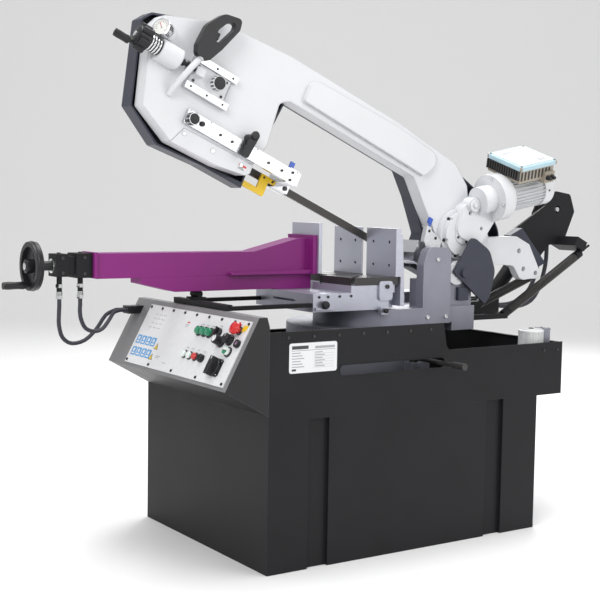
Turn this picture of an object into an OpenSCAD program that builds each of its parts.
// Hydraulic double-mitre bow band saw for metal, on a cabinet with a coolant tray.
// Row frame: origin at the middle of the cabinet's underside, +X towards the motor end,
// +Y away from the operator's side, +Z up. The cutting strand of the blade runs in the plane Y = 0.
// The bow is stored raised. Its parts are drawn level, about the bow datum, then tilted up.

/* [Cabinet] */
// Length of the cabinet
cabinet_l = 1180; // [1060:10:1240]
// Width of the cabinet from the operator's side to the back
cabinet_w = 860; // [760:10:960]
// Height of the cabinet
cabinet_h = 500; // [420:10:620]
// Thickness of the sheet metal
sheet_t = 3; // [2:0.5:4]
// Depth of the recessed grooves in the long sides
groove_d = 14; // [8:1:20]
// Width of a recessed groove
groove_w = 82; // [60:2:100]
// Radius of a floor bolt hole
bolt_r = 9; // [6:0.5:12]

/* [Tray] */
// How far the tray reaches past the cabinet at the motor end
tray_over = 125; // [90:5:160]
// Height of the tray's walls
tray_h = 195; // [170:5:215]
// Height of the raised front apron above the tray's wall
apron_h = 95; // [60:5:120]

/* [Control desk] */
// How far the desk's lower lip reaches past the cabinet
desk_out = 163; // [140:1:185]
// Rise of the desk's lower lip above the cabinet
desk_lip = 112; // [90:1:130]
// Diameter of the mushroom-head stop button
stop_d = 40; // [34:1:46]

/* [Table and jaws] */
// Height of the table's top above the cabinet
table_rise = 440; // [430:1:470]
// Thickness of a table plate
plate_t = 28; // [24:1:34]
// Height of the fixed jaws
jaw_h = 175; // [150:1:178]
// Length of one jaw along the fence
jaw_l = 180; // [150:5:190]
// Half of the gap between the two fixed jaws
jaw_gap = 15; // [12:1:20]

/* [Bow] */
// Angle of the raised bow above the end of a cut
bow_raise = 24.5; // [18:0.5:26]
// Diameter of the band wheels
wheel_d = 340; // [320:2:344]
// Width of the saw band
band_w = 27; // [20:1:34]
// Thickness of the saw band
band_t = 1; // [0.8:0.1:1.3]
// Radius of the bow's hinge pin
hinge_r = 22; // [16:1:26]

/* [Vise] */
// Opening between the jaws
vise_open = 183; // [120:1:240]
// Diameter of the vise handwheel
vise_wheel_d = 160; // [130:5:180]
// Diameter of the hydraulic hoses
hose_d = 14; // [10:1:16]

/* [Springs and cylinder] */
// Diameter of the lift cylinder's barrel
barrel_d = 60; // [50:1:70]
// Outer diameter of a counterbalance spring
spring_d = 38; // [30:1:44]

/* [Hidden] */
$fn = 48;
fit = 0.05;
gap = 0.3;
half_l = cabinet_l / 2;
half_w = cabinet_w / 2;
tray_top = cabinet_h + tray_h;
apron_top = tray_top + apron_h;
tray_end = half_l + tray_over;
table_z = cabinet_h + table_rise;
ring_z = 700;
ring_top = 760;
arm_top = 820;
bed_z = arm_top + 3;
fence_x = 95;
swivel_r = 190;
post_r = 75;
hinge_x = 415;
hinge_z = table_z + 7;
datum_x = 450;
datum_z = hinge_z;
wheel_r = wheel_d / 2;
band_z = -24;
wheel_z = band_z + band_t / 2 + gap + wheel_r;
idler_x = -1265;
drive_x = 20;
shaft_r = 30;
head_y = -95;
web_y = -33;
vise_y = 105;
vise_z = 985;
jaw_x = fence_x - vise_open;

paint_black = [0.13, 0.13, 0.14];
paint_white = [0.93, 0.93, 0.94];
paint_blue = [0.23, 0.24, 0.29];
paint_desk = [0.47, 0.48, 0.50];
purple = [0.57, 0.16, 0.50];
cast_grey = [0.66, 0.67, 0.70];
steel = [0.72, 0.73, 0.75];
dark_steel = [0.30, 0.29, 0.29];
rubber_black = [0.08, 0.08, 0.09];

// ---------- shared geometry ----------

function unit(v) = v / norm(v);

// Points of the arc of radius r that rounds corner p between neighbours a and b.
function corner_arc(p, a, b, r, n = 6) =
    let (u = unit(a - p), v = unit(b - p))
    let (half = acos(max(-1, min(1, u * v))) / 2)
    let (centre = p + unit(u + v) * r / sin(half))
    let (from = p + u * r / tan(half) - centre, to = p + v * r / tan(half) - centre)
    let (start = atan2(from[1], from[0]), turn = atan2(to[1], to[0]) - start)
    let (sweep = turn > 180 ? turn - 360 : turn < -180 ? turn + 360 : turn)
    [for (i = [0:n]) centre + r * [cos(start + sweep * i / n), sin(start + sweep * i / n)]];

// A closed outline whose corners [x, z, radius] are rounded.
function rounded(c) = [for (i = [0:len(c) - 1])
    let (p = [c[i][0], c[i][1]], r = c[i][2])
    let (a = c[(i + len(c) - 1) % len(c)], b = c[(i + 1) % len(c)])
    each (r > 0 ? corner_arc(p, [a[0], a[1]], [b[0], b[1]], r) : [p])];

// Extrudes an outline in the XZ plane from y0 to y1.
module slab(y0, y1) {
    translate([0, y1, 0]) rotate([90, 0, 0]) linear_extrude(y1 - y0) children();
}

// A box by its low and high corners.
module block(low, high) {
    translate(low) cube(high - low);
}

// A cylinder from y0 to y1 along Y.
module rod_y(x, z, r, y0, y1) {
    translate([x, y1, z]) rotate([90, 0, 0]) cylinder(r = r, h = y1 - y0);
}

// A cylinder from x0 to x1 along X.
module rod_x(y, z, r, x0, x1) {
    translate([x0, y, z]) rotate([0, 90, 0]) cylinder(r = r, h = x1 - x0);
}

// A cylinder from point a to point b.
module rod(a, b, r) {
    v = b - a;
    translate(a) rotate([0, acos(v[2] / norm(v)), atan2(v[1], v[0])]) cylinder(r = r, h = norm(v));
}

// Draws the bow's parts, which are laid out level, at the raised angle.
module in_bow() {
    translate([datum_x, 0, datum_z]) rotate([0, bow_raise, 0]) children();
}

// A plain round tube swept along points, as one closed polyhedron.
function ring_at(p, t, r, n) =
    let (side = unit(cross(t, abs(t[2]) > 0.9 ? [0, 1, 0] : [0, 0, 1])), up = cross(side, t))
    [for (i = [0:n - 1]) p + r * (cos(360 * i / n) * side + sin(360 * i / n) * up)];
module tube(points, r, n = 10) {
    last = len(points) - 1;
    rings = [for (i = [0:last])
        each ring_at(points[i], unit(points[min(i + 1, last)] - points[max(i - 1, 0)]), r, n)];
    sides = [for (i = [0:last - 1], j = [0:n - 1])
        [i * n + j, i * n + (j + 1) % n, (i + 1) * n + (j + 1) % n, (i + 1) * n + j]];
    polyhedron(rings, concat(sides, [[for (j = [n - 1:-1:0]) j]],
        [[for (j = [0:n - 1]) last * n + j]]), convexity = 6);
}

// Points along a smooth curve through hand-chosen points.
function smooth(p, steps) = [for (i = [0:len(p) - 2], k = [0:steps - 1])
    let (a = p[max(i - 1, 0)], b = p[i], c = p[i + 1], d = p[min(i + 2, len(p) - 1)], s = k / steps)
    0.5 * (2 * b + (c - a) * s + (2 * a - 5 * b + 4 * c - d) * s * s
        + (3 * b - a - 3 * c + d) * s * s * s)];

// A hose's route: straight at both ends and smooth between.
function route(r) = concat([r[0]], smooth([for (i = [1:len(r) - 2]) r[i]], 3),
    [r[len(r) - 2], r[len(r) - 1]]);

// ---------- cabinet, tray and desk ----------

groove_x = [-435, 340];
// Plan of the cabinet's wall, set in by t from its outside.
function wall_plan(t) =
    let (x = half_l - t, y = half_w - t, g = y - groove_d)
    concat([[-x, -y]],
        [for (s = groove_x) each [[s - t, -y], [s - t, -g], [s + groove_w + t, -g], [s + groove_w + t, -y]]],
        [[x, -y], [x, y]],
        [for (s = [groove_x[1], groove_x[0]])
            each [[s + groove_w + t, y], [s + groove_w + t, g], [s - t, g], [s - t, y]]],
        [[-x, y]]);

base_t = 6;
bolt_x = half_l - 50;
bolt_y = half_w - 50;
module anchor_plate() {
    color(paint_black) difference() {
        linear_extrude(base_t) polygon(wall_plan(sheet_t + gap));
        for (side = [-1, 1]) translate([side * bolt_x / 2, 0, base_t / 2])
            cube([bolt_x - 140, 2 * bolt_y - 140, base_t + 2], center = true);
        for (x = [-1, 1], y = [-1, 1])
            translate([x * bolt_x, y * bolt_y, -1]) cylinder(r = bolt_r, h = base_t + 2);
    }
}

module cabinet() {
    color(paint_black) difference() {
        linear_extrude(cabinet_h) polygon(wall_plan(0));
        translate([0, 0, -1]) linear_extrude(cabinet_h - sheet_t + 1) polygon(wall_plan(sheet_t));
    }
    anchor_plate();
}

apron_x = [-538, 145];
slot_x = [-314, 135];
slot_z = [636, 670];
module machine_tray() {
    y = half_w;
    color(paint_black) {
        difference() {
            union() {
                difference() {
                    block([-half_l, -y, cabinet_h], [tray_end, y, tray_top]);
                    block([-half_l + sheet_t, -y + sheet_t, cabinet_h + sheet_t],
                        [tray_end - sheet_t, y - sheet_t, tray_top + 1]);
                }
                slab(-y, -y + sheet_t) polygon([[-half_l, tray_top - 1], [apron_x[1] + 14, tray_top - 1],
                    [apron_x[1], tray_top + 15], [apron_x[1] - 15, apron_top], [-half_l, apron_top]]);
                block([-half_l, -y, tray_top - 1], [-half_l + sheet_t, y, apron_top]);
                slab(y - sheet_t, y) polygon([[-half_l, tray_top - 1], [-430, tray_top - 1],
                    [-450, apron_top], [-half_l, apron_top]]);
            }
            slab(-y - 1, -y + sheet_t + 1) polygon(rounded([[slot_x[0], slot_z[0], 15],
                [slot_x[1], slot_z[0], 15], [slot_x[1], slot_z[1], 15], [slot_x[0], slot_z[1], 15]]));
        }
        // inward flange along the rear and the motor end
        block([-430, y - 18, tray_top - sheet_t], [tray_end, y, tray_top]);
        block([tray_end - 18, -y, tray_top - sheet_t], [tray_end, y, tray_top]);
    }
}

// The desk's side outline: back, underside, lip, sloping face, top.
lip_x = -half_l - desk_out;
lip_z = cabinet_h + desk_lip;
crest_x = -half_l - 40;
crest_z = apron_top + 51;
desk_back = -half_l - gap;
module control_desk() {
    outline = [[desk_back, cabinet_h + 20], [lip_x, lip_z], [crest_x, crest_z],
        [crest_x + 30, crest_z], [desk_back, apron_top + 20]];
    inner = [[desk_back + 1, cabinet_h + 26], [lip_x + 9, lip_z + 3], [crest_x + 1, crest_z - 8],
        [crest_x + 28, crest_z - 4], [desk_back + 1, apron_top + 15]];
    color(paint_desk) difference() {
        slab(-half_w, half_w) polygon(outline);
        slab(-half_w + sheet_t, half_w - sheet_t) polygon(inner);
    }
    color(paint_black) block([desk_back - 1, -half_w + 10, cabinet_h + 60],
        [-half_l, half_w - 10, cabinet_h + 80]);
}

// Places flat work on the desk's sloping face: x runs to the operator's right, y runs up the slope.
face_angle = atan2(crest_z - lip_z, crest_x - lip_x);
face_len = norm([crest_x - lip_x, crest_z - lip_z]);
module on_desk(x, y) {
    translate([lip_x, 0, lip_z]) rotate([0, 0, -90]) rotate([face_angle, 0, 0])
        translate([x, y, 0]) children();
}
plate_h = 4;
module bezel(at, r) {
    on_desk(at[0], at[1]) translate([0, 0, plate_h]) difference() {
        cylinder(r = r + 4, h = 5);
        translate([0, 0, -1]) cylinder(r = r + gap, h = 7);
    }
}
plate_left = 132 - half_w;
plate_right = half_w - 22;
module desk_plate() {
    color([0.92, 0.92, 0.92]) on_desk(0, 0) translate([plate_left, 12, 0])
        cube([plate_right - plate_left, face_len - 30, plate_h]);
    color(rubber_black) {
        for (p = green_at) bezel(p, green_r);
        bezel(stop_at, stop_d / 4);
        bezel(lamp_at, lamp_r);
        on_desk(main_at[0], main_at[1]) translate([-30, -28, plate_h]) cube([60, 60, 3]);
    }
}

// Controls on the plate: places [across, up the slope].
green_r = 14;
lamp_r = 13;
green_at = [[122, 178], [157, 178], [192, 178]];
selector_at = [243, 184];
dial_at = [[285, 156], [331, 168]];
stop_at = [362, 204];
lamp_at = [352, 128];
main_at = [320, 68];
lamp_places = [[94, 89], [131, 88], [168, 88]];
pilot_at = [213, 87];
key_at = [386, 160];
module desk_fittings() {
    step = (plate_right - plate_left - 24) / 8;
    color(rubber_black) {
        for (i = [0:8]) on_desk(plate_left + 12 + i * step, face_len - 28)
            translate([0, 0, plate_h]) cylinder(r = 5, h = 3);
        for (i = [0:2:8]) on_desk(plate_left + 12 + i * step, 22)
            translate([0, 0, plate_h]) cylinder(r = 5, h = 3);
    }
    color([0.9, 0.9, 0.9]) for (p = lamp_places)
        on_desk(p[0], p[1]) translate([0, 0, plate_h]) cylinder(r = 11, h = 10);
    color(rubber_black) {
        on_desk(pilot_at[0], pilot_at[1]) translate([0, 0, plate_h]) cylinder(r = 14, h = 12);
        on_desk(key_at[0], key_at[1]) translate([0, 0, plate_h]) cylinder(r = 14, h = 9);
    }
}
module green_buttons() {
    color([0.05, 0.55, 0.3]) for (p = green_at)
        on_desk(p[0], p[1]) translate([0, 0, plate_h + 3.3]) cylinder(r = green_r, h = 12);
}
module mode_selector() {
    color(rubber_black) on_desk(selector_at[0], selector_at[1]) translate([0, 0, plate_h]) {
        cylinder(r = 17, h = 8);
        translate([-4, -16, 7]) cube([8, 32, 14]);
    }
}
module dial(at) {
    color(rubber_black) on_desk(at[0], at[1]) translate([0, 0, plate_h]) {
        cylinder(r = 20, h = 10);
        cylinder(r = 15, h = 26);
    }
}
module speed_dial() {
    dial(dial_at[0]);
}
module feed_dial() {
    dial(dial_at[1]);
}
module stop_button() {
    color([0.8, 0.06, 0.08]) on_desk(stop_at[0], stop_at[1]) translate([0, 0, plate_h + 3.3]) {
        cylinder(r = stop_d / 4, h = 16);
        translate([0, 0, 15]) cylinder(r = stop_d / 2, h = 12);
    }
}
module lamp_button() {
    color([0.9, 0.92, 0.9]) on_desk(lamp_at[0], lamp_at[1])
        translate([0, 0, plate_h + 3.3]) cylinder(r = lamp_r, h = 13);
}
module main_switch() {
    color(rubber_black) on_desk(main_at[0], main_at[1]) translate([0, 0, plate_h + 3]) {
        cylinder(r = 30, h = 8);
        translate([-9, -30, 7]) cube([18, 60, 20]);
    }
}

module data_plate() {
    color([0.9, 0.9, 0.88]) slab(-half_w - 1.2, -half_w) polygon(rounded([[-516, 655, 8], [-328, 655, 8],
        [-328, 753, 8], [-516, 753, 8]]));
}

gland_z = [788, 816];
gland_x = -705;
function face_x(z) = lip_x + (z - lip_z) * (crest_x - lip_x) / (crest_z - lip_z);
module hose_gland() {
    color(rubber_black) slab(half_w - 70, half_w - 20) polygon([[gland_x, gland_z[0]],
        [face_x(gland_z[0]), gland_z[0]], [face_x(gland_z[1]), gland_z[1]], [gland_x, gland_z[1]]]);
}

// ---------- table, jaws and mitre base ----------

lever_at = [118, -280];
lever_z = 653;
lever_boss = 32;
module mitre_base() {
    color(paint_black) {
        translate([fence_x, 0, cabinet_h + sheet_t]) cylinder(r = 255, h = ring_z - cabinet_h - sheet_t);
        block([lever_at[0] - 20, lever_at[1] - 20, 606], [lever_at[0] + 20, -240, lever_z - lever_boss / 2]);
    }
    color(steel) translate([fence_x, 0, ring_z]) {
        cylinder(r = 290, h = ring_top - ring_z);
        cylinder(r = post_r, h = bed_z - ring_z);
    }
}

bed_top = table_z - plate_t;
bed_x = [-263, 118];
module table_bed() {
    color(cast_grey) difference() {
        union() {
            block([bed_x[0], -190, bed_z], [20, 190, bed_z + 64]);
            block([-60, -190, bed_z + 60], [fence_x, 190, bed_top]);
            block([-100, -190, bed_z + 60], [-60, 55, bed_top]);
            block([-20, -150, bed_z], [bed_x[1], 150, bed_top]);
            block([20, -190, bed_z], [70, -140, bed_z + 60]);
        }
        block([bed_x[0] - 1, -73, bed_z + 30], [bed_x[0] + 30, 73, bed_z + 38]);
        block([-101, -8, bed_top - 8], [bed_x[1] + 1, 8, bed_top + 1]);
    }
}

// Kerf slots through the table plates at the mitre stops.
kerf_w = 14;
module kerfs(z0, z1) {
    for (a = [0, 45, -45]) translate([fence_x, 0, z0]) rotate([0, 0, a])
        translate([-300, -kerf_w / 2, 0]) cube([600, kerf_w, z1 - z0]);
}
plate_x = [-58, 109];
module table_plates() {
    color(dark_steel) difference() {
        union() {
            block([-100, -192, bed_top], [fence_x + 14, 10, table_z]);
            block([plate_x[0], 8, bed_top], [plate_x[1], 192, table_z]);
        }
        kerfs(bed_top - 1, table_z + 1);
    }
}

// One jaw: a ground face plate with four screw heads and a ribbed back.
jaw_base = table_z;
module jaw_plate(x0, x1, y0, y1, z0, z1) {
    difference() {
        block([x0, y0, z0], [x1, y1, z1]);
        for (y = [y0 + 42, y1 - 42], z = [z0 + 40, z1 - 50])
            rod_x(y, z, 6, x0 - 1, x0 + 6);
    }
}
jaw_t = 22;
// Outline of a jaw's rib, top_w and foot_w thick at its top and foot.
function jaw_back(top_w, foot_w) = let (x = fence_x + jaw_t, z = jaw_base + jaw_h - 20)
    [[x, jaw_base], [x, z], [x + top_w, z], [x + foot_w, bed_z + 40], [x + foot_w, bed_z + 10],
        [bed_x[1] + gap, bed_z + 10], [bed_x[1] + gap, jaw_base]];
module rear_fixed_jaw() {
    y = [jaw_gap, jaw_gap + jaw_l];
    color(cast_grey) {
        difference() {
            jaw_plate(fence_x, fence_x + jaw_t, y[0], y[1], jaw_base, jaw_base + jaw_h);
            translate([fence_x, 0, jaw_base - 1]) rotate([0, 0, 45]) translate([0, -10, 0])
                cube([60, 20, jaw_h + 2]);
        }
        slab(y[0] + 80, y[1]) polygon(jaw_back(20, 55));
    }
}
module front_fixed_jaw() {
    y = [-jaw_gap - jaw_l, -jaw_gap];
    color(cast_grey) {
        difference() {
            jaw_plate(fence_x, fence_x + jaw_t, y[0], y[1], jaw_base, jaw_base + jaw_h);
            translate([fence_x, 0, jaw_base - 1]) rotate([0, 0, -45]) translate([0, -10, 0])
                cube([60, 20, jaw_h + 2]);
        }
        slab(y[0], y[0] + 60) polygon(jaw_back(8, 20));
    }
}

rail_x = -600;
module vise_support() {
    color(cast_grey) block([rail_x - 12, -190, crest_z], [rail_x + 12, 185, crest_z + 20]);
    color(dark_steel) for (y = [-178, 165])
        block([rail_x + 12, y - 10, crest_z], [bed_x[0], y + 10, crest_z + 14]);
    color(rubber_black) {
        block([rail_x + 12, vise_y - 30, crest_z + 2], [rail_x + 60, vise_y + 30, 866]);
        rod_y(rail_x + 36, slide_low - 12, 12, vise_y - 26, vise_y + 26);
    }
}

slide_low = 889;
slide_top = table_z + 1;
// The fixed way that the vise arm slides along.
module vise_slideway() {
    color(purple) slab(arm_y[0], arm_y[1]) polygon([[-800, slide_top], [-800, 920], [-670, slide_low],
        [bed_x[0], slide_low], [bed_x[0], bed_z + 64], [-104, bed_z + 64], [-104, slide_top]]);
}

pump_at = [614, -365];
module coolant_pump() {
    color([0.88, 0.88, 0.87]) translate([pump_at[0], pump_at[1], 0]) {
        translate([0, 0, cabinet_h + sheet_t]) cylinder(r = 52, h = 160 - sheet_t);
        translate([0, 0, 660]) cylinder(r = 44, h = 80);
        for (a = [0:15:345]) rotate([0, 0, a]) translate([42, -1.5, 664]) cube([5, 3, 72]);
        translate([0, 0, 739]) cylinder(r = 40, h = 5);
    }
    color([0.5, 0.5, 0.5]) block([pump_at[0] + 38, pump_at[1] - 22, 680],
        [pump_at[0] + 76, pump_at[1] + 22, 742]);
}

// ---------- swivel arm ----------

cheek_y = [-150, head_y - 2];
module swivel_arm() {
    color(cast_grey) {
        difference() {
            union() {
                translate([fence_x, 0, ring_top]) cylinder(r = swivel_r, h = arm_top - ring_top);
                block([fence_x, -swivel_r, ring_top], [310, swivel_r, arm_top]);
                block([300, -170, ring_top], [500, 170, arm_top]);
                block([fence_x + 294, -170, 728], [500, 170, arm_top]);
                slab(cheek_y[0], cheek_y[1]) polygon(rounded([[240, arm_top - 5, 0], [500, arm_top - 5, 0],
                    [500, 920, 40], [hinge_x + 42, hinge_z + 40, 30], [hinge_x - 40, hinge_z + 40, 25],
                    [hinge_x - 46, 926, 0], [240, 926, 0]]));
                slab(-190, cheek_y[0] + 1) polygon(rounded([[230, ring_top, 0], [362, ring_top, 0],
                    [362, 1045, 35], [252, 1045, 30], [230, 980, 40]]));
                block([300, 60, arm_top - 5], [500, 170, arm_top + 40]);
            }
            translate([fence_x, 0, ring_top - 1]) cylinder(r = post_r + fit, h = 100);
            rod_y(hinge_x, hinge_z, hinge_r - 4, cheek_y[0] - 1, cheek_y[1] + 1);
        }
    }
}

module hinge_pin() {
    color(steel) {
        rod_y(hinge_x, hinge_z, hinge_r - 4, cheek_y[0], cheek_y[1]);
        rod_y(hinge_x, hinge_z, hinge_r, cheek_y[1], web_y - 4);
    }
    color(rubber_black) rod_y(hinge_x, hinge_z, 46, cheek_y[0] - 14, cheek_y[0]);
}

guard_y = cheek_y[0] - 24;
module sector_guard() {
    color(paint_blue) {
        slab(guard_y, guard_y + 10) polygon(rounded([[hinge_x - 22, 948, 6], [478, 1080, 14], [500, 1074, 10],
            [570, 1030, 60], [600, 950, 60], [575, 850, 60], [552, 822, 10]]));
    }
    color(rubber_black) {
        rod_y(hinge_x + 25, 945, 16, guard_y - 12, guard_y);
        block([hinge_x + 10, cheek_y[0] - 14, 840], [hinge_x + 60, cheek_y[0], 890]);
    }
}

// Lower anchors of the springs and of the lift cylinder, behind the arm.
spring_low = [[735, -100, 780], [660, -33, 815]];
spring_high = [[1118, -100, 1000], [905, -33, 905]];
spring_dir = [for (i = [0, 1]) unit(spring_high[i] - spring_low[i])];
spring_end = 8;
barrel_low = [740, 30, 800];
rod_high = [1090, 30, 1190];
module spring_anchor() {
    color(rubber_black) {
        block([500, -122, 756], [722, -78, 776]);
        block([500, -122, 748], [520, 72, arm_top]);
        block([500, -50, 790], [644, -12, 822]);
        difference() {
            block([500, -12, 765], [775, 72, 830]);
            block([640, -5, 750], [776, 65, 840]);
        }
        block([700, 71, 770], [775, 120, 812]);
        rod_y(barrel_low[0], barrel_low[2], 10, -12, 72);
        for (i = [0, 1])
            rod(spring_low[i] - spring_dir[i] * 24, spring_low[i] + spring_dir[i] * (spring_end - gap), 18);
    }
}

module mitre_lever() {
    x = lever_at[0];
    color(dark_steel) {
        translate([x, lever_at[1], lever_z - lever_boss / 2]) cylinder(r = 16, h = lever_boss);
        rod_y(x, lever_z, 8, -500, lever_at[1]);
        rod_y(x, lever_z, 12, -560, -500);
    }
}

// ---------- vise ----------

arm_y = [62, 148];
arm_x = [-965, jaw_x - 14];
module vise_arm() {
    color(purple) {
        slab(arm_y[0], arm_y[1]) polygon([[arm_x[0], slide_top], [arm_x[0], 1026], [-352, 1026],
            [arm_x[1] - 62, 1072], [arm_x[1], 1072], [arm_x[1], slide_top]]);
        slab(arm_y[0] - 24, arm_y[0]) polygon([[-460, slide_top + 2], [-460, slide_top + 10],
            [arm_x[1], slide_top + 16], [arm_x[1], slide_top + 2]]);
        block([arm_x[1] - 18, 25, 942], [arm_x[1], 198, 1085]);
        block([arm_x[0] - 12, arm_y[0] - 10, 944], [arm_x[0], arm_y[1] + 10, 1030]);
    }
}
module moving_jaw() {
    color(cast_grey) difference() {
        block([arm_x[1], jaw_gap, jaw_base + 4], [jaw_x, jaw_gap + jaw_l, jaw_base + jaw_h + 15]);
        for (y = [jaw_gap + 42, jaw_gap + jaw_l - 42], z = [jaw_base + 45, jaw_base + 130])
            rod_x(y, z, 6, jaw_x - 6, jaw_x + 1);
    }
}
cyl_x = [-1104, arm_x[0] - 12];
module vise_cylinder() {
    color(rubber_black) difference() {
        union() {
            block([cyl_x[0], vise_y - 34, vise_z - 35], [-1060, vise_y + 34, vise_z + 40]);
            block([-1060, vise_y - 28, vise_z - 30], [-1035, vise_y + 28, vise_z + 32]);
            block([-1035, vise_y - 38, vise_z - 40], [cyl_x[1], vise_y + 38, vise_z + 42]);
        }
        rod_x(vise_y, vise_z, 10 + fit, cyl_x[0] - 1, cyl_x[0] + 40);
    }
    color(steel) for (x = hose_x) translate([x, hose_y, vise_z - 60]) cylinder(r = 9, h = 25);
    color(steel) for (x = hose_x) translate([x, hose_y, vise_z - 110]) cylinder(r = hose_d / 2 + 2, h = 50);
}
hose_x = [-1084, -1010];
hose_y = 95;
wheel_at = -1165;
module vise_handwheel() {
    color(rubber_black) {
        difference() {
            rod_x(vise_y, vise_z, vise_wheel_d / 2, wheel_at - 22, wheel_at + 2);
            rod_x(vise_y, vise_z, vise_wheel_d / 2 - 16, wheel_at - 23, wheel_at - 8);
            for (a = [30:120:270]) translate([wheel_at - 10, vise_y, vise_z]) rotate([a, 0, 0])
                rod_x(0, 44, 15, -20, 20);
        }
        rod_x(vise_y, vise_z, 22, wheel_at - 30, wheel_at + 22);
        rod_x(vise_y, vise_z - 62, 7, wheel_at - 30, wheel_at - 10);
        rod_x(vise_y, vise_z - 62, 12, wheel_at - 108, wheel_at - 30);
    }
    color(steel) rod_x(vise_y, vise_z, 10, wheel_at + 22, cyl_x[0] + 30);
    color(rubber_black) rod_x(vise_y, vise_z, 16, wheel_at + 22, cyl_x[0] - 0.5);
}

// Hand-chosen routes of the two hydraulic hoses, from the fittings to the desk's gland.
hose_end = gland_x - gap;
hose_route = [
    [[-1084, 95, 874.7], [-1084, 95, 850], [-1084, 98, 825], [-1078, 112, 785], [-1050, 150, 740], [-990, 215, 710],
        [-910, 285, 710], [-840, 345, 740], [-785, 385, 785], [-740, 395, 802], [hose_end, 395, 802]],
    [[-1010, 95, 874.7], [-1010, 95, 855], [-1010, 97, 830], [-1000, 108, 800], [-970, 140, 768], [-915, 195, 750],
        [-855, 260, 750], [-800, 325, 772], [-765, 360, 795], [-735, 370, 802], [hose_end, 370, 802]]];
module hydraulic_hoses() {
    color(rubber_black) for (r = hose_route) tube(route(r), hose_d / 2);
}

// ---------- bow: castings and covers ----------

head_corners = [[-1441, -36, 14], [-1520, 205, 30], [-1495, 262, 25], [-1290, 349, 60],
    [-1000, 381, 90], [-490, 392, 120], [-170, 378, 60], [-80, 328, 30]];
throat_corners = [[-250, 178, 20], [-330, 243, 18], [-945, 238, 30], [-978, 212, 20], [-962, 60, 20],
    [-985, -29, 0]];
web_end = 112;
casting_outline = rounded(concat([[-1275, -35, 0], [-1302, -97, 0]], head_corners,
    [[-30, 250, 20], [60, 222, 20], [web_end, 200, 20], [web_end, 60, 40], [30, -60, 40],
        [-75, -65, 30], [-85, 10, 20], [-118, 76, 10]], throat_corners));
module bow_casting() {
    pocket = rounded([[-930, 268, 12], [-930, 362, 30], [-490, 372, 60], [-170, 358, 40], [-330, 268, 12]]);
    head_pocket = rounded([[-1420, -10, 14], [-1480, 190, 20], [-1440, 255, 25], [-1290, 322, 40],
        [-1010, 340, 40], [-1010, 60, 20], [-1260, 40, 20], [-1290, -20, 10]]);
    hx = (hinge_x - datum_x) * cos(bow_raise);
    hz = (hinge_x - datum_x) * sin(bow_raise);
    color(paint_white) in_bow() difference() {
        union() {
            slab(head_y, web_y) polygon(casting_outline);
            // thicker backbone and its lip along the throat
            slab(head_y - 18, head_y) polygon(rounded([[-900, 262, 12], [-900, 352, 40], [-490, 372, 60],
                [-240, 362, 40], [-300, 262, 20]]));
            // boss for the tension screw
            rod_x(screw_y, wheel_z, 34, -1478, -1400);
            block([-1478, screw_y, wheel_z - 34], [-1400, head_y, wheel_z + 34]);
            // boss for the gauge
            rod_y(gauge_at[0] + 12, gauge_at[2], 24, gauge_at[1] - 10, head_y);
        }
        rod(gauge_at, gauge_at + gauge_axis * 60, gauge_r + gap);
        slab(head_y + 12, web_y + 1) polygon(pocket);
        slab(head_y + 14, web_y + 1) polygon(head_pocket);
        rod_y(hx, hz, hinge_r + fit, head_y - 1, web_y + 1);
        rod_y(drive_x, wheel_z, shaft_r + fit, head_y - 1, web_y + 1);
        // slot of the idler carriage
        block([-1355, head_y - 1, wheel_z - 26], [-1180, web_y + 1, wheel_z + 26]);
        rod_x(screw_y, wheel_z, 12 + fit, -1480, -1399);
    }
}

cover_y = [web_y, 34];
cover_corners = [[-1455, -40, 10], [-1538, 232, 8], [-1512, 270, 12], [-1290, 356, 60],
    [-1000, 386, 90], [-490, 396, 120], [-150, 386, 90], [70, 350, 60], [222, 250, 90],
    [222, 50, 90], [90, -48, 50], [-154, -48, 14], [-154, 88, 20],
    [-262, 195, 15], [-345, 262, 20], [-925, 256, 30], [-945, 60, 20], [-962, -20, 10], [-962, -103, 0],
    [-1140, -102, 10], [-1318, -115, 8]];
cover_inner = [[-1450, -36, 10], [-1531, 231, 8], [-1508, 264, 12], [-1289, 350, 56],
    [-1000, 380, 86], [-490, 390, 116], [-150, 380, 86], [68, 344, 56], [216, 248, 84],
    [216, 52, 84], [88, -42, 46], [-150, -42, 10], [-150, 92, 18],
    [-258, 201, 15], [-347, 268, 20], [-931, 262, 30], [-951, 60, 20], [-968, -20, 10], [-968, -84, 0],
    [-1140, -96, 8], [-1315, -108, 8]];
module wheel_cover() {
    color(paint_blue) in_bow() difference() {
        slab(cover_y[0], cover_y[1]) polygon(rounded(cover_corners));
        slab(cover_y[0] - 1, cover_y[1] - 3) polygon(rounded(cover_inner));
        // ways for the band out of both housings
        block([-1000, -22, band_z - 22], [-930, 22, band_z + 22]);
        block([-158, -22, band_z - 22], [-146, 22, band_z + 22]);
    }
}

module blade_cover() {
    color(paint_white) in_bow() {
        slab(head_y - 3, web_y) polygon([[-985, -29 - gap], [-1275, -35 - gap], [-1302 + gap, -97], [-1110, -92],
            [-1000, -74], [-985, -60]]);
    }
}

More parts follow.
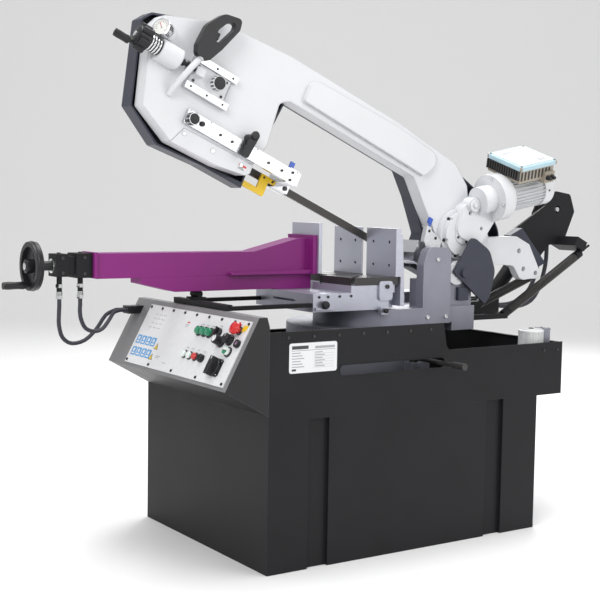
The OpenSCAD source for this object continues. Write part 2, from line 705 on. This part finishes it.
module saw_blade() {
    straight = [-940, -130];
    flat = [idler_x + 40, drive_x - 65];
    twist_r = flat[1] - straight[1];
    twist_l = straight[0] - flat[0];
    color(dark_steel) in_bow() {
        // the cutting strand, a solid of its own between the two twists
        block([straight[0] + 0.1, -band_t / 2, band_z - band_w / 2],
            [straight[1] - 0.1, band_t / 2, band_z + band_w / 2]);
        translate([straight[1], 0, band_z]) rotate([0, 90, 0])
            linear_extrude(twist_r, twist = 90, slices = 10) square([band_w, band_t], center = true);
        translate([straight[0], 0, band_z]) rotate([0, -90, 0])
            linear_extrude(twist_l, twist = 90, slices = 12) square([band_w, band_t], center = true);
        block([flat[1], -band_w / 2, band_z - band_t / 2], [drive_x, band_w / 2, band_z + band_t / 2]);
        block([idler_x, -band_w / 2, band_z - band_t / 2], [flat[0], band_w / 2, band_z + band_t / 2]);
        slab(-band_w / 2, band_w / 2) {
            polygon(loop(wheel_r + gap, wheel_r + gap + band_t));
        }
    }
}
// The band's path round both wheels and back along the top, as an outline of its own thickness.
function arc(x, r, a0, a1, n = 40) = [for (i = [0:n])
    let (a = a0 + (a1 - a0) * i / n) [x + r * sin(a), wheel_z - r * cos(a)]];
function loop(r0, r1) = concat(arc(drive_x, r1, 0, 180), arc(idler_x, r1, 180, 360),
    arc(idler_x, r0, 360, 180), arc(drive_x, r0, 180, 0));

// ---------- bow: tensioning head ----------

gib_x = [-1343, -1170];
module tension_gibs() {
    color(steel) in_bow() {
        for (z = [wheel_z - 57, wheel_z + 41]) difference() {
            block([gib_x[0], head_y - 26, z - 8], [gib_x[1], head_y, z + 16]);
            for (i = [0.12, 0.5, 0.88]) rod_y(gib_x[0] + i * (gib_x[1] - gib_x[0]), z + 4, 4, head_y - 27, head_y - 20);
        }
    }
}

module tension_carriage() {
    color(paint_white) in_bow() difference() {
        union() {
            block([-1334, head_y - 18, wheel_z - 40.5], [-1190, head_y - 0.5, wheel_z + 32.5]);
            block([-1325, head_y - 18, wheel_z - 22], [-1205, web_y + 6, wheel_z + 22]);
            block([-1334, screw_y - 14, wheel_z - 14], [-1300, head_y - 17, wheel_z + 14]);
            rod_y(idler_x, wheel_z, 18, web_y, 24);
        }
        rod_x(screw_y, wheel_z, 8, -1336, -1312);
    }
    color(rubber_black) in_bow() {
        rod_y(-1240, wheel_z, 24, head_y - 48, head_y - 18);
    }
}

hand_x = -1543;
screw_y = -128;
module tension_handwheel() {
    color(rubber_black) in_bow() {
        rod_x(screw_y, wheel_z, 34, hand_x - 22, hand_x + 20);
        for (a = [0:60:300]) translate([0, screw_y, wheel_z]) rotate([a, 0, 0]) rod_x(0, 34, 12, hand_x - 20, hand_x + 16);
        rod_x(screw_y, wheel_z - 30, 6, hand_x - 40, hand_x - 20);
        rod([hand_x - 40, screw_y, wheel_z - 30], [hand_x - 92, screw_y, wheel_z - 30], 13);
    }
    color(steel) in_bow() {
        rod_x(screw_y, wheel_z, 27, hand_x + 20, hand_x + 64.7);
        rod_x(screw_y, wheel_z, 12, hand_x + 64, -1380);
        rod_x(screw_y, wheel_z, 7, -1381, -1318);
    }
}

gauge_axis = unit([-22, -16, -2]);
gauge_at = [-1476, -120, 210];
gauge_r = 28;
module tension_gauge() {
    color([0.75, 0.75, 0.76]) in_bow() rod(gauge_at, gauge_at + gauge_axis * 34, gauge_r);
}

module grip_tube() {
    color(paint_white) in_bow()
        tube(smooth([[-1372, head_y - 4, 40], [-1374, head_y - 14, 50], [-1376, head_y - 34, 70],
            [-1372, head_y - 50, 100], [-1360, head_y - 58, 140], [-1346, head_y - 58, 175],
            [-1340, head_y - 58, 186]], 3), 11, 12);
}

grip_outer = [[-1366, 184, 14], [-1378, 215, 20], [-1372, 290, 60], [-1330, 352, 40], [-1262, 368, 14],
    [-1256, 330, 30], [-1290, 240, 50], [-1318, 184, 10]];
grip_inner = [[-1322, 246, 10], [-1330, 290, 30], [-1306, 332, 20], [-1276, 345, 8], [-1276, 322, 14], [-1302, 262, 16]];
grip_y = [head_y - 72, head_y - 44];
module feed_grip() {
    color(rubber_black) in_bow() {
        difference() {
            slab(grip_y[0], grip_y[1]) polygon(rounded(grip_outer));
            slab(grip_y[0] - 1, grip_y[1] + 1) polygon(rounded(grip_inner));
            block([-1345, grip_y[0] + 5, 262], [-1315, grip_y[1] - 5, 286]);
        }
    }
}
module grip_trigger() {
    color([0.1, 0.1, 0.11]) in_bow() block([-1339, grip_y[0] + 5 + gap, 262 + gap], [-1314, grip_y[1] - 5 - gap, 286 - gap]);
}

// ---------- bow: guides ----------

module guide_arm() {
    color(steel) in_bow() difference() {
        union() {
            block([-1292, head_y - 16, -22], [-800, head_y - 0.3, 27]);
            block([-850, head_y - 16, -26], [-812, -8, 30]);
            slab(-30, -2) polygon([[-842, -40], [-842, 20], [-812, 20], [-778, -8], [-778, -40]]);
            slab(2, 24) polygon([[-842, -40], [-842, 20], [-812, 20], [-778, -8], [-778, -40]]);
            block([-842, -30, 10], [-812, 24, 20]);
        }
        rod_y(-795, -26, 6, -31, -25);
    }
    color([0.95, 0.8, 0.05]) in_bow() {
        block([-958, -30, -90], [-870, -22, -74]);
        block([-900, -30, -80], [-870, -22, -20]);
        block([-900, -30, -34], [-840, -22, -22]);
    }
    color(rubber_black) in_bow() {
        rod_y(-1268, 2, 20, head_y - 34, head_y - 16);
        rod_y(-1228, 4, 8, head_y - 22, head_y - 16);
    }
}

clamp_at = [-1042, 34];
module guide_clamp() {
    color(rubber_black) in_bow() {
        rod_y(clamp_at[0], clamp_at[1] + 10, 15, head_y - 44, head_y - 0.3);
        slab(head_y - 44, head_y - 30) polygon(rounded([[-1058, -28, 6], [-1036, -28, 6], [-1024, 60, 10], [-1052, 66, 10]]));
    }
}

module left_valve() {
    color([0.1, 0.3, 0.7]) in_bow() translate([-826, -60, 30]) {
        cylinder(r = 5, h = 12);
        translate([-4, -4, 12]) cube([18, 8, 22]);
    }
}
module right_valve() {
    color([0.1, 0.3, 0.7]) in_bow() translate([-188, head_y - 7, 104]) {
        cylinder(r = 5, h = 12);
        translate([-14, -4, 12]) cube([18, 8, 22]);
    }
}

module right_guide() {
    color(steel) in_bow() {
        difference() {
            slab(web_y - 62 - 22, web_y - 62) polygon([[-208, 100], [-120, 76], [-100, 0], [-130, -16], [-196, 40]]);
            for (p = [[-190, 86], [-150, 74], [-120, 30]]) rod_y(p[0], p[1], 6, -118, -110);
        }
        block([-200, head_y - 14, 98], [-176, head_y + 20, 104]);
    }
    color(rubber_black) in_bow() {
        slab(-95, -2) polygon([[-206, 40], [-170, 30], [-160, -40], [-196, -40], [-206, -10]]);
        slab(2, 22) polygon([[-206, 30], [-170, 30], [-160, -40], [-196, -40], [-206, -10]]);
        block([-206, -3, 12], [-172, 3, 30]);
        slab(-93, -60) polygon([[-190, 20], [-160, -20], [-120, -70], [-96, -86], [-104, -60], [-150, 0]]);
    }
}

// ---------- bow: drive ----------

motor_at = [10, -150, 318];
motor_tilt = bow_raise + 11;
module at_motor() {
    in_bow() translate(motor_at) rotate([0, -motor_tilt, 0]) children();
}
ring_x = -45;
ring_cz = 138;
module gearbox() {
    color(paint_white) in_bow() {
        difference() {
            union() {
                rod_y(ring_x, ring_cz, 97, head_y - 20, head_y);
                rod_y(ring_x, ring_cz, 84, head_y - 38, head_y - 20);
                slab(head_y - 52, head_y) polygon(rounded([[-90, 120, 40], [-100, 230, 40], [-50, 300, 30],
                    [20, 330, 20], [70, 250, 30], [40, 120, 40]]));
                rod_y(-62, 254, 28, head_y - 66, head_y - 20);
            }
            for (a = [20:60:320]) translate([ring_x, 0, ring_cz]) rotate([0, a, 0])
                rod_y(84, 0, 7, head_y - 60, head_y - 14);
        }
        rod_y(drive_x, wheel_z, 22, head_y - 4, -60);
    }
    color(paint_white) at_motor() {
        translate([-10, 0, 0]) rotate([0, 90, 0]) difference() {
            union() {
                cylinder(r = 92, h = 48);
                translate([0, 0, -60]) cylinder(r = 54, h = 60);
            }
            for (a = [20:90:340]) rotate([0, 0, a]) translate([78, 0, -1]) cylinder(r = 7, h = 14);
        }
    }
}
motor_len = 240;
module drive_motor() {
    color([0.86, 0.86, 0.87]) at_motor() translate([38, 0, 0]) rotate([0, 90, 0]) {
        cylinder(r = 92, h = 8);
        cylinder(r = 60, h = motor_len - 30);
        for (a = [0:12:348]) rotate([0, 0, a]) translate([58, -1.5, 8]) cube([12, 3, motor_len - 60]);
        translate([0, 0, motor_len - 52]) cylinder(r = 71, h = 46);
    }
}
module inverter_box() {
    color([0.62, 0.58, 0.5]) at_motor() rotate([19, 0, 0]) translate([46, 0, 0]) {
        translate([0, -92, 80]) cube([176, 176, 52]);
        translate([20, -40, 70.3]) cube([110, 90, 10]);
        translate([120, -108, 66]) cube([50, 60, 44]);
    }
    color([0.8, 0.9, 0.94]) at_motor() rotate([19, 0, 0]) translate([46, 0, 0])
        translate([-4, -98, 132]) cube([190, 188, 14]);
    color(rubber_black) at_motor() rotate([19, 0, 0]) translate([46, 0, 0])
        for (i = [0:13]) translate([-8, -90 + i * 13, 94]) cube([8, 5, 36]);
}

bracket_y = [-90, -54];
module rear_bracket() {
    color(paint_white) in_bow() difference() {
        slab(bracket_y[0], bracket_y[1]) polygon(rounded([[web_end, 105, 0], [web_end, 195, 0], [250, 262, 30],
            [330, 262, 10], [430, 190, 12], [445, 160, 12], [400, 140, 20], [350, 112, 40], [290, 150, 30], [180, 110, 20]]));
        for (p = [[290, 215], [345, 160], [415, 172]]) rod_y(p[0], p[1], 10, bracket_y[0] - 1, bracket_y[1] + 1);
    }
}
box_y = [bracket_y[1], -14];
module limit_box() {
    color(paint_blue) in_bow() slab(box_y[0], box_y[1]) polygon([[252, 266], [296, 318], [480, 244], [432, 190]]);
}

// The black yoke that carries the cylinder's rod end and the springs' upper hooks.
cheek_t = 11;
yoke_y = [box_y[1] + cheek_t, 63];
module spring_yoke() {
    color(rubber_black) in_bow() {
        difference() {
            union() {
                slab(box_y[1], yoke_y[0]) polygon(rounded([[300, 250, 6], [300, 318, 6], [410, 470, 10],
                    [436, 550, 14], [520, 575, 20], [575, 520, 20], [575, 385, 10], [500, 330, 10], [470, 250, 6]]));
                slab(yoke_y[1], yoke_y[1] + cheek_t) polygon(rounded([[430, 440, 12], [436, 550, 14],
                    [520, 575, 20], [575, 520, 20], [575, 385, 10], [520, 385, 10]]));
            }
            rod_y(rod_pin[0], rod_pin[1], 16, box_y[1] - 1, yoke_y[1] + cheek_t + 1);
        }
        block([522, box_y[1], 385], [575, yoke_y[1] + cheek_t, 520]);
        block([540, -122, 352], [600, 20, 392]);
    }
    color(rubber_black) for (i = [0, 1])
        rod(spring_high[i] - spring_dir[i] * (spring_end - gap), spring_high[i] + spring_dir[i] * 22, 18);
    color(rubber_black) rod_y(spring_high[1][0] + 14, spring_high[1][2] + 5, 9, bracket_y[1], -20);
    color(steel) rod(spring_high[0] + spring_dir[0] * 20, spring_high[0] + spring_dir[0] * 84, 5);
}
yoke_c = cos(bow_raise);
yoke_s = sin(bow_raise);
rod_pin = [(rod_high[0] - datum_x) * yoke_c - (rod_high[2] - datum_z) * yoke_s,
    (rod_high[0] - datum_x) * yoke_s + (rod_high[2] - datum_z) * yoke_c];

// ---------- wheels ----------

module band_wheel(x) {
    difference() {
        rod_y(x, wheel_z, wheel_r, -17, 15);
        rod_y(x, wheel_z, wheel_r - 16, -18, -5);
        rod_y(x, wheel_z, wheel_r - 16, 5, 16);
        for (a = [0:60:300]) translate([x, 0, wheel_z]) rotate([0, a, 0]) rod_y(wheel_r * 0.55, 0, 28, -20, 20);
    }
}
module idler_wheel() {
    color(cast_grey) in_bow() difference() {
        union() {
            band_wheel(idler_x);
            rod_y(idler_x, wheel_z, 36, -22, 22);
        }
        rod_y(idler_x, wheel_z, 18 + fit, -23, 25);
    }
}
module drive_wheel() {
    color(cast_grey) in_bow() {
        band_wheel(drive_x);
        rod_y(drive_x, wheel_z, 36, -22, 22);
        rod_y(drive_x, wheel_z, shaft_r, -60, -21);
    }
}

// ---------- lift cylinder and springs ----------

lift_dir = unit(rod_high - barrel_low);
barrel_end = barrel_low + lift_dir * 400;
module lift_barrel() {
    color(rubber_black) difference() {
        union() {
            rod(barrel_low + lift_dir * 30, barrel_end, barrel_d / 2);
            rod_y(barrel_low[0], barrel_low[2], 24, barrel_low[1] - 26, barrel_low[1] + 26);
            rod(barrel_low, barrel_low + lift_dir * 32, 20);
        }
        rod_y(barrel_low[0], barrel_low[2], 10 + fit, -20, 80);
        rod(barrel_low + lift_dir * 60, barrel_end + lift_dir, 14 + fit);
    }
}
module lift_rod() {
    color(steel) {
        rod(barrel_low + lift_dir * 70, rod_high - lift_dir * 8, 14);
        rod_y(rod_high[0], rod_high[2], 9, box_y[1], yoke_y[1] + cheek_t);
        rod(rod_high - lift_dir * 9, rod_high + lift_dir * 70, 9);
    }
}
module balance_springs() {
    color(rubber_black) for (i = [0, 1]) {
        low = spring_low[i] + spring_dir[i] * spring_end;
        high = spring_high[i] - spring_dir[i] * spring_end;
        difference() {
            rod(low, high, spring_d / 2);
            rod(low - spring_dir[i], high + spring_dir[i], spring_d / 2 - 6);
        }
    }
}

cable_start = yoke_y[1] + cheek_t + gap;
cable_route = [
    [[1128, cable_start, 1105], [1128, 82, 1105], [1133, 88, 1085], [1135, 88, 1030], [1130, 88, 950],
        [1100, 88, 860], [1050, 88, 800], [970, 88, 778], [890, 88, 782], [820, 88, 790], [775.3, 88, 790]],
    [[1100, cable_start, 1125], [1100, 98, 1125], [1108, 108, 1095], [1112, 109, 1030], [1105, 109, 950],
        [1075, 109, 870], [1025, 109, 815], [955, 109, 790], [885, 109, 786], [820, 109, 790], [775.3, 109, 790]]];
module power_cables() {
    color(rubber_black) for (r = cable_route) tube(route(r), 9);
}

cabinet();
machine_tray();
control_desk();
desk_plate();
desk_fittings();
data_plate();
hose_gland();
mitre_base();
table_bed();
table_plates();
rear_fixed_jaw();
vise_support();
vise_slideway();
coolant_pump();
swivel_arm();
hinge_pin();
sector_guard();
spring_anchor();
mitre_lever();
front_fixed_jaw();
vise_arm();
moving_jaw();
vise_cylinder();
vise_handwheel();
hydraulic_hoses();
bow_casting();
wheel_cover();
blade_cover();
saw_blade();
tension_gibs();
tension_gauge();
feed_grip();
grip_tube();
right_guide();
gearbox();
drive_motor();
inverter_box();
rear_bracket();
limit_box();
spring_yoke();
tension_carriage();
idler_wheel();
tension_handwheel();
drive_wheel();
guide_arm();
guide_clamp();
grip_trigger();
left_valve();
right_valve();
lift_barrel();
lift_rod();
balance_springs();
green_buttons();
stop_button();
main_switch();
mode_selector();
speed_dial();
feed_dial();
power_cables();
lamp_button();
